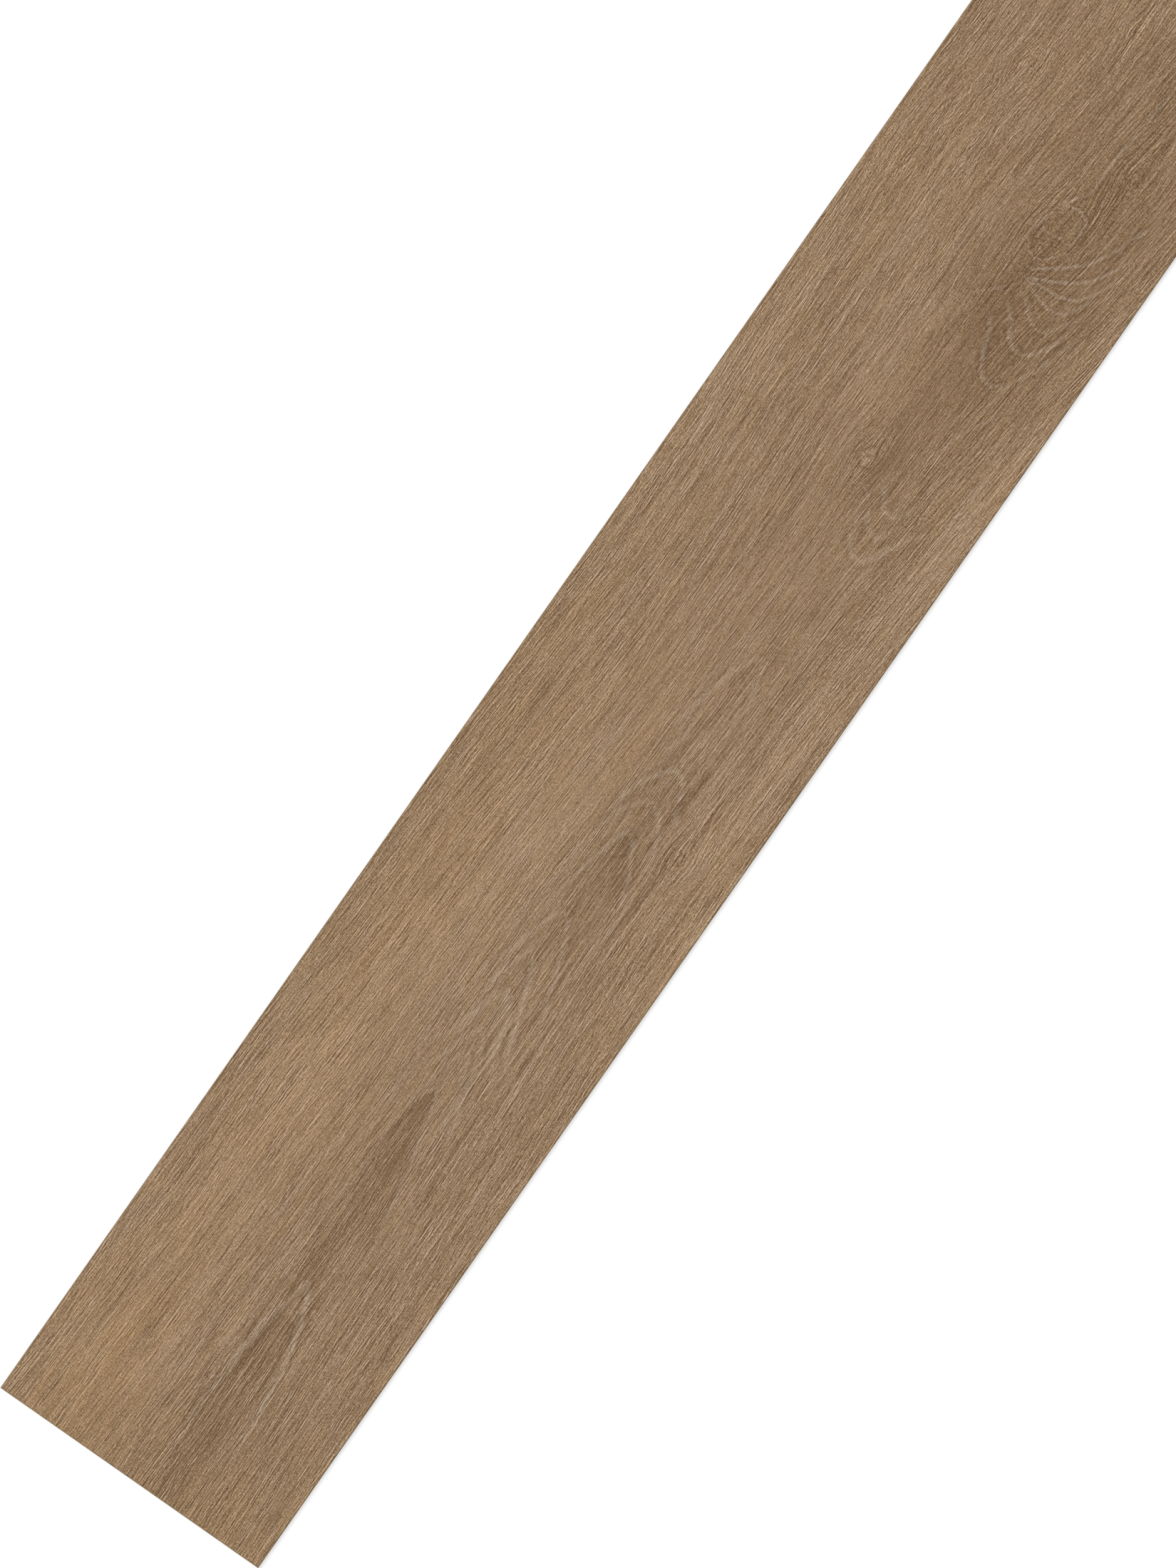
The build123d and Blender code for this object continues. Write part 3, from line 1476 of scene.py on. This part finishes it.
@dataclass(frozen=True)
class PaintedBevel:
    """The micro bevel, rolled with brown paint. It gives the eye the darker line round the face.

    Attributes:
        paint: its colour.
        worn: its colour where the paint is thin.
        patch: length of a thin place.
        dimple: depth of the paint's unevenness.
        roughness: of the dried paint.
    """

    paint: str = "755A39"
    worn: str = "9A7B53"
    patch: float = 6.0
    dimple: float = 0.03
    roughness: float = 0.5

    def material(self) -> bpy.types.Material:
        """Makes the bevel's material.

        Returns:
            The material.
        """
        graph = MaterialGraph("painted_micro_bevel")
        place = graph.add("ShaderNodeTexCoord")["Object"]
        inputs = {"Vector": place, "Scale": 1 / (self.patch * MM), "Detail": 3.0, "Roughness": 0.6}
        noise = graph.add("ShaderNodeTexNoise", inputs)["Fac"]
        colour = graph.shade(noise, {0.35: self.paint, 0.75: self.worn})
        return graph.finish(colour, noise, self.dimple, self.roughness)


@dataclass(frozen=True)
class CutVinyl:
    """The punched edge of the sheet: PVC filled with limestone. It gives the eye a plain cut.

    Attributes:
        film: colour of the thin printed film at the top of the cut.
        core: colour of the filled PVC.
        grit: colour of the filler's pale grains.
        backing: colour of the stiffer layer at the bottom.
        film_height: where the film starts, from the back.
        backing_height: where the bottom layer ends, from the back.
        grain: size of a filler grain.
        wander: how far the layers' borders wander up and down.
        drag: width of a mark that the punch left.
        drag_height: how far such a mark runs up the cut.
        drag_depth: how deep it is.
        roughness: of the cut.
    """

    film: str = "7B6144"
    core: str = "8C857B"
    grit: str = "ABA59B"
    backing: str = "5F5B56"
    film_height: float = 1.98
    backing_height: float = 0.62
    grain: float = 0.3
    wander: float = 0.12
    drag: float = 0.35
    drag_height: float = 6.0
    drag_depth: float = 0.05
    roughness: float = 0.72

    def material(self) -> bpy.types.Material:
        """Makes the cut edge's material.

        Returns:
            The material.
        """
        graph = MaterialGraph("cut_filled_vinyl")
        place = graph.add("ShaderNodeTexCoord")["Object"]
        inputs = {"Vector": place, "Scale": 1 / (self.grain * MM), "Detail": 2.0, "Roughness": 0.6}
        grains = graph.add("ShaderNodeTexNoise", inputs)["Fac"]
        colour = graph.shade(grains, {0.42: self.core, 0.72: self.grit})
        up = graph.add("ShaderNodeSeparateXYZ", {0: place})[2]
        height = graph.weigh(grains, self.wander * MM, up)
        for border, code, blur in (
            (self.backing_height, self.backing, 0.04),
            (self.film_height, self.film, -0.03),
        ):
            share = graph.fall_off(height, (border - blur) * MM, (border + blur) * MM)
            colour = graph.tint(colour, code, share)
        stretch = (1 / (self.drag * MM), 1 / (self.drag * MM), 1 / (self.drag_height * MM))
        place = graph.add("ShaderNodeVectorMath", {0: place, 1: stretch}, operation="MULTIPLY")[0]
        marks = graph.add("ShaderNodeTexNoise", {"Vector": place, "Scale": 1.0, "Detail": 2.0})["Fac"]
        return graph.finish(colour, marks, self.drag_depth, self.roughness)


@dataclass(frozen=True)
class VinylBacking:
    """The calendered PVC back with a pressed linen texture. It gives the eye a dull grey underside.

    Attributes:
        grey: its colour.
        pale: its colour where the filler shows.
        clouds: how many paler areas there are in a metre.
        thread: pitch of the linen texture.
        thread_depth: depth of the linen texture.
        roughness: of the unpolished sheet.
    """

    grey: str = "5B5853"
    pale: str = "6E6A64"
    clouds: float = 22.0
    thread: float = 1.4
    thread_depth: float = 0.08
    roughness: float = 0.8

    def material(self) -> bpy.types.Material:
        """Makes the back's material.

        Returns:
            The material.
        """
        graph = MaterialGraph("calendered_vinyl_backing")
        place = graph.add("ShaderNodeTexCoord")["Object"]
        height: Level = 0.0
        inputs = {
            "Vector": place,
            "Scale": WAVE_SCALE / (self.thread * MM),
            "Distortion": 1.2,
            "Detail": 1.0,
            "Detail Scale": 2.0,
        }
        for direction in ("X", "Y"):
            wave = graph.add("ShaderNodeTexWave", inputs, bands_direction=direction)["Fac"]
            height = graph.weigh(wave, 0.5, height, 0.0)
        inputs = {"Vector": place, "Scale": self.clouds, "Detail": 5.0, "Roughness": 0.65}
        clouds = graph.add("ShaderNodeTexNoise", inputs)["Fac"]
        level = graph.weigh(height, 0.25, clouds)
        colour = graph.shade(level, {0.3: self.grey, 0.8: self.pale})
        return graph.finish(colour, height, self.thread_depth, self.roughness)


@dataclass(frozen=True)
class DenseStretch:
    """A stretch of the plank whose relief needs closer rows of faces.

    Attributes:
        start: where it starts, from the near end.
        end: where it ends.
        closeness: how many times closer its rows are.
    """

    start: float
    end: float
    closeness: float


@dataclass
class EmbossedPlank:
    """The plank as one closed mesh, with its pressed grain as real relief.

    Attributes:
        low: the CAD plank's lowest corner, in metres.
        high: its highest corner, in metres.
        bevel_run: how far the bevel reaches in over the face.
        bevel_drop: how far the bevel drops.
        columns: faces across.
        rows: faces along.
        streak_depth: how deep the pressed streaks go.
        vein_depth: how deep the figure lines go.
        knot_depth: how deep the knots' rings go.
        dense: stretches with closer rows.
        dense_blend: length over which the rows draw closer at each end of such a stretch.
        press_margin: how far in from the bevel the grain reaches its full depth.
    """

    low: tuple[float, float, float]
    high: tuple[float, float, float]
    bevel_run: float = 0.6
    bevel_drop: float = 0.4
    columns: int = 296
    rows: int = 320
    streak_depth: float = 0.045
    vein_depth: float = 0.03
    knot_depth: float = 0.04
    dense: tuple[DenseStretch, ...] = (
        DenseStretch(452, 478, 2.2),
        DenseStretch(700, 724, 2.0),
        DenseStretch(780, 850, 1.8),
        DenseStretch(850, 945, 2.6),
    )
    dense_blend: float = 12.0
    press_margin: float = 1.2

    def row_places(self) -> np.ndarray:
        """Spaces the rows, closer where the knots are.

        Returns:
            The place of each row from the face's near end, as a share of its length.
        """
        length = (self.high[0] - self.low[0]) / MM
        places = np.linspace(0, length, 2000)
        closeness = np.ones_like(places)
        for stretch in self.dense:
            rise = ease(places, stretch.start - self.dense_blend, stretch.start)
            fall = 1 - ease(places, stretch.end, stretch.end + self.dense_blend)
            closeness = np.maximum(closeness, 1 + (stretch.closeness - 1) * rise * fall)
        count = np.cumsum(closeness)
        count = (count - count[0]) / (count[-1] - count[0])
        return np.interp(np.linspace(0, 1, self.rows + 1), count, places / length)

    def shell(self) -> bpy.types.Mesh:
        """Builds the closed shell: face, bevel, cut edges and back.

        Returns:
            The mesh, with a flat face as yet.
        """
        length = self.high[0] - self.low[0]
        width = self.high[1] - self.low[1]
        inset = self.bevel_run * MM
        top = self.high[2]
        sheet = bmesh.new()
        bmesh.ops.create_grid(sheet, x_segments=self.rows, y_segments=self.columns, size=0.5)
        places = self.row_places()
        for vert in sheet.verts:
            vert.co.x = places[round((vert.co.x + 0.5) * self.rows)] - 0.5
        bmesh.ops.scale(sheet, vec=(length - 2 * inset, width - 2 * inset, 1), verts=sheet.verts)
        bmesh.ops.translate(sheet, vec=(0, 0, top), verts=sheet.verts)
        for face in sheet.faces:
            face.material_index = Surface.FACE
            face.smooth = True
        rim = [edge for edge in sheet.edges if edge.is_boundary]
        for edge in rim:
            edge.smooth = False
        rim = self.extrude_rim(sheet, rim, Surface.BEVEL)
        verts = list({vert for edge in rim for vert in edge.verts})
        grow = (length / (length - 2 * inset), width / (width - 2 * inset), 1)
        bmesh.ops.scale(sheet, vec=grow, verts=verts)
        bmesh.ops.translate(sheet, vec=(0, 0, -self.bevel_drop * MM), verts=verts)
        rim = self.extrude_rim(sheet, rim, Surface.CUT_EDGE)
        verts = list({vert for edge in rim for vert in edge.verts})
        bmesh.ops.translate(sheet, vec=(0, 0, self.low[2] + self.bevel_drop * MM - top), verts=verts)
        back = bmesh.ops.contextual_create(sheet, geom=rim)["faces"]
        for face in back:
            face.material_index = Surface.BACK
        bmesh.ops.triangulate(sheet, faces=back, quad_method="BEAUTY", ngon_method="BEAUTY")
        bmesh.ops.recalc_face_normals(sheet, faces=sheet.faces)
        mesh = bpy.data.meshes.new("embossed_plank")
        sheet.to_mesh(mesh)
        sheet.free()
        return mesh

    def extrude_rim(
        self,
        sheet: bmesh.types.BMesh,
        rim: list[bmesh.types.BMEdge],
        surface: Surface,
    ) -> list[bmesh.types.BMEdge]:
        """Extrudes the open rim once.

        Args:
            sheet: the mesh in work.
            rim: its open edges.
            surface: what the new faces are.

        Returns:
            The new open edges.
        """
        made = bmesh.ops.extrude_edge_only(sheet, edges=rim)["geom"]
        for face in made:
            if isinstance(face, bmesh.types.BMFace):
                face.material_index = surface
        return [edge for edge in made if isinstance(edge, bmesh.types.BMEdge) and edge.is_boundary]

    def press(self, mesh: bpy.types.Mesh) -> None:
        """Presses the grain into the face and keeps it on the mesh for the materials.

        Args:
            mesh: the closed shell.
        """
        count = len(mesh.vertices)
        flat = np.empty(count * 3)
        mesh.vertices.foreach_get("co", flat)
        spots = flat.reshape(-1, 3)
        along = (spots[:, 0] - self.low[0]) / MM
        across = (self.high[1] - spots[:, 1]) / MM
        width = (self.high[1] - self.low[1]) / MM
        grain = GrainField(width=width).at(along, across)
        vein = sum(lines.strength * np.exp(-(lines.offset**2)) for lines in grain.figure)
        ring = np.cos(grain.knot_radius * grain.knot_rings * math.tau)
        ring *= ease(-grain.knot_radius, -1.2, -0.9)
        depth = self.streak_depth * grain.streak + self.vein_depth * (1 - vein)
        depth += self.knot_depth * 0.5 * (1 + ring * grain.knot_strength)
        far_end = (self.high[0] - self.low[0]) / MM - self.bevel_run
        right_edge = width - self.bevel_run
        margin = np.minimum(along, across) - self.bevel_run
        margin = np.minimum.reduce([margin, far_end - along, right_edge - across])
        on_face = spots[:, 2] > self.high[2] - 0.01 * MM
        depth = depth * ease(margin, -0.1, self.press_margin) * on_face
        spots[:, 2] -= depth * MM
        spots = np.clip(spots, self.low, self.high)
        mesh.vertices.foreach_set("co", spots.ravel())
        vectors = {
            "grain_flow": (grain.flow_along, grain.flow_across, np.zeros(count)),
            "grain_look": (grain.tone, grain.streak, grain.fleck),
            "grain_knot": (grain.knot_radius, grain.knot_rings, grain.knot_strength),
            "grain_tint": (grain.warmth, grain.calm, grain.wavy),
            "grain_cross": (grain.figure[0].run, grain.figure[1].run, grain.bold),
        }
        for index, lines in enumerate(grain.figure):
            vectors[f"grain_vein_{index}"] = (lines.offset, lines.strength, lines.shade)
        for name, parts in vectors.items():
            layer = mesh.attributes.new(name, "FLOAT_VECTOR", "POINT")
            layer.data.foreach_set("vector", np.stack(parts, 1).ravel())
        mesh.update()

    def lay_out(self, mesh: bpy.types.Mesh) -> None:
        """Lays the surfaces out side by side in a square, for the baked copy.

        The face keeps the full length and most of the height, because its streaks are long
        and narrow.

        Args:
            mesh: the finished mesh.
        """
        vertex = np.empty(len(mesh.loops), int)
        mesh.loops.foreach_get("vertex_index", vertex)
        spots = np.empty(len(mesh.vertices) * 3)
        mesh.vertices.foreach_get("co", spots)
        surface = np.empty(len(mesh.polygons), int)
        mesh.polygons.foreach_get("material_index", surface)
        normals = np.empty(len(mesh.polygons) * 3)
        mesh.polygons.foreach_get("normal", normals)
        totals = np.empty(len(mesh.polygons), int)
        mesh.polygons.foreach_get("loop_total", totals)
        surface = np.repeat(surface, totals)
        normals = np.repeat(normals.reshape(-1, 3), totals, axis=0)
        low = np.array(self.low)
        share = (spots.reshape(-1, 3)[vertex] - low) / (np.array(self.high) - low)
        place = np.empty((len(vertex), 2))
        place[:, 0] = SHEET_MARGIN + (1 - 2 * SHEET_MARGIN) * share[:, 0]
        place[:, 1] = FACE_START + FACE_HEIGHT * share[:, 1]
        back = surface == Surface.BACK
        place[back, 1] = BACK_START + BACK_HEIGHT * share[back, 1]
        cut = surface == Surface.CUT_EDGE
        for side, start in zip((1, -1), LONG_EDGE_STARTS):
            chosen = cut & (side * normals[:, 1] > 0.5)
            place[chosen, 1] = start + EDGE_HEIGHT * share[chosen, 2]
        for side, start in zip((1, -1), END_STARTS):
            chosen = cut & (side * normals[:, 0] > 0.5)
            place[chosen, 0] = start + END_LENGTH * share[chosen, 1]
            place[chosen, 1] = END_ROW + EDGE_HEIGHT * share[chosen, 2]
        layer = mesh.uv_layers.new(name="OFBake")
        layer.data.foreach_set("uv", place.ravel())

    def build(self) -> bpy.types.Object:
        """Builds and dresses the plank.

        Returns:
            The finished piece.
        """
        mesh = self.shell()
        self.press(mesh)
        self.lay_out(mesh)
        for finish in (PrintedOak(), PaintedBevel(), CutVinyl(), VinylBacking()):
            mesh.materials.append(finish.material())
        piece = bpy.data.objects.new("embossed_plank", mesh)
        bpy.context.scene.collection.objects.link(piece)
        return piece


@dataclass(frozen=True)
class Studio:
    """A white floor, soft light and the photo's view from straight above.

    Attributes:
        floor_size: side of the floor, in metres.
        floor: colour of the floor.
        floor_glow: what the camera sees added to the floor, so that it looks white.
        sky: level of the even light from all round.
        key: level of the soft light from one side.
        key_height: its height over the horizon, in degrees.
        key_turn: its direction, in degrees from +X towards +Y.
        key_size: how wide it looks from the plank, in degrees.
        lens: focal length; long, because the photo shows no perspective.
        sensor: length of the film's long side.
    """

    floor_size: float = 30.0
    floor: str = "BEBEBE"
    floor_glow: float = 0.53
    sky: float = 0.59
    key: float = 0.43
    key_height: float = 48.0
    key_turn: float = 105.0
    key_size: float = 50.0
    lens: float = 400.0
    sensor: float = 36.0

    def add_floor(self) -> None:
        """Lays the floor that the plank lies on."""
        sheet = bmesh.new()
        bmesh.ops.create_grid(sheet, x_segments=1, y_segments=1, size=self.floor_size / 2)
        mesh = bpy.data.meshes.new("floor")
        sheet.to_mesh(mesh)
        sheet.free()
        floor = bpy.data.objects.new("floor", mesh)
        bpy.context.scene.collection.objects.link(floor)
        graph = MaterialGraph("white_floor")
        rays = graph.add("ShaderNodeLightPath")
        inputs = {0: rays["Is Camera Ray"], 1: rays["Is Glossy Ray"]}
        seen = graph.add("ShaderNodeMath", inputs, operation="MAXIMUM")[0]
        glow = graph.add("ShaderNodeMath", {0: seen, 1: self.floor_glow}, operation="MULTIPLY")[0]
        graph.tree.links.new(glow, graph.shader.inputs["Emission Strength"])
        graph.shader.inputs["Emission Color"].default_value = WHITE
        graph.shader.inputs["Base Color"].default_value = linear(self.floor)
        graph.shader.inputs["Roughness"].default_value = 0.9
        graph.shader.inputs["Specular IOR Level"].default_value = 0.0
        mesh.materials.append(graph.material)

    def add_light(self) -> None:
        """Adds the even light from all round and the soft one from the side."""
        world = bpy.data.worlds.new("studio")
        world.use_nodes = True
        tree = world.node_tree
        background = tree.nodes["Background"]
        rays = add_node(tree, "ShaderNodeLightPath").outputs
        level = add_node(
            tree,
            "ShaderNodeMapRange",
            {"Value": rays["Is Camera Ray"], "To Min": self.sky, "To Max": 1.0},
        )
        background.inputs["Color"].default_value = WHITE
        tree.links.new(level.outputs["Result"], background.inputs["Strength"])
        bpy.context.scene.world = world
        lamp = bpy.data.lights.new("key_light", "SUN")
        lamp.energy = self.key * math.pi / math.sin(math.radians(self.key_height))
        lamp.angle = math.radians(self.key_size)
        key = bpy.data.objects.new("key_light", lamp)
        key.rotation_euler = (0, math.radians(90 - self.key_height), math.radians(self.key_turn))
        bpy.context.scene.collection.objects.link(key)

    def add_camera(self, low: tuple[float, float, float], high: tuple[float, float, float]) -> None:
        """Hangs the camera over the plank, turned and centred as in the photo.

        Args:
            low: the plank's lowest corner.
            high: its highest corner.
        """
        pixel = (high[1] - low[1]) / PLANK_WIDTH_PIXELS
        tilt = math.atan(EDGE_RUN_PER_ROW)
        right = PHOTO_WIDTH / 2 - NEAR_LEFT_CORNER[0]
        down = PHOTO_HEIGHT / 2 - NEAR_LEFT_CORNER[1]
        along = right * math.sin(tilt) - down * math.cos(tilt)
        across = right * math.cos(tilt) + down * math.sin(tilt)
        data = bpy.data.cameras.new("camera")
        data.lens = self.lens
        data.sensor_width = self.sensor
        data.clip_end = 100.0
        distance = PHOTO_HEIGHT * pixel * self.lens / self.sensor
        camera = bpy.data.objects.new("camera", data)
        camera.location = (low[0] + along * pixel, high[1] - across * pixel, high[2] + distance)
        camera.rotation_euler = (0, 0, tilt - math.pi / 2)
        bpy.context.scene.collection.objects.link(camera)
        bpy.context.scene.camera = camera


def main() -> None:
    """Builds the plank and its studio, in that order."""
    logging.basicConfig(level=logging.INFO, format="%(name)s: %(message)s")
    low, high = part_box("plank")
    piece = EmbossedPlank(tuple(low), tuple(high)).build()
    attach(piece, "root")
    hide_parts("plank")
    triangles = sum(len(face.vertices) - 2 for face in piece.data.polygons)
    log.info("%s: %d vertices, %d triangles", piece.name, len(piece.data.vertices), triangles)
    studio = Studio()
    studio.add_floor()
    studio.add_light()
    studio.add_camera(tuple(low), tuple(high))
    bpy.context.scene.view_settings.view_transform = "Standard"


if __name__ == "__main__":
    main()
